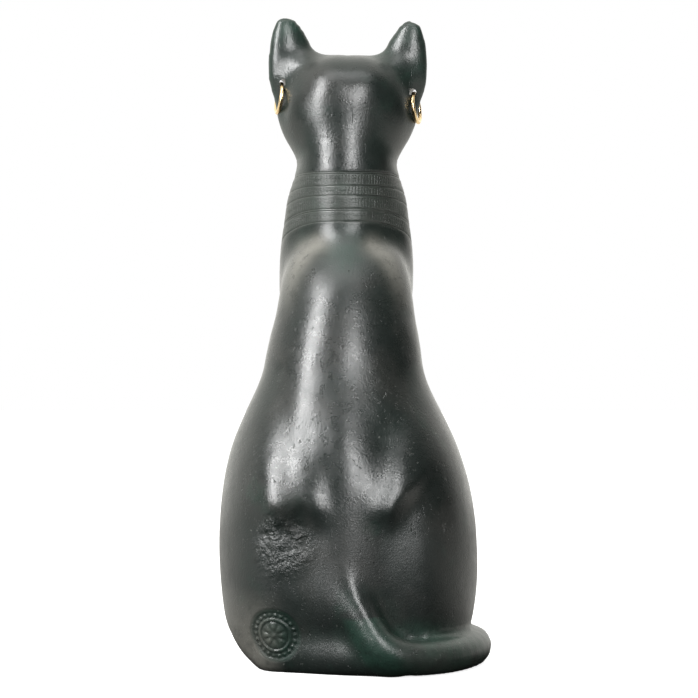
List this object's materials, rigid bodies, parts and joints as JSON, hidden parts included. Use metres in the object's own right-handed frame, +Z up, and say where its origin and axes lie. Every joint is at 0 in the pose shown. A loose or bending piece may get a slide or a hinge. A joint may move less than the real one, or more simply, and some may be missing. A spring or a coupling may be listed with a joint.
{
  "type": "seated cat figure",
  "caption": "Upright seated cat in the ancient Egyptian style, tail round its right side, engraved collar and wire hoops in its ears; stands on its own flat underside.",
  "frame": {"origin": "on the flat underside, under the figure's middle line, between the knees and the hips", "axes": "+Z up; the cat faces -Y; +X is the cat's left side, and its tail lies on the -X side"},
  "size_m": [0.1378, 0.1522, 0.3291],
  "materials": {
    "patina_resin": "satin, near-black green-grey antique bronze patina with a fine pitted grain",
    "gold_wire": "polished gold-coloured wire"
  },
  "bodies": {
    "root": {"cat_figure": "patina_resin", "left_earring": "gold_wire", "right_earring": "gold_wire"}
  },
  "joints": []
}
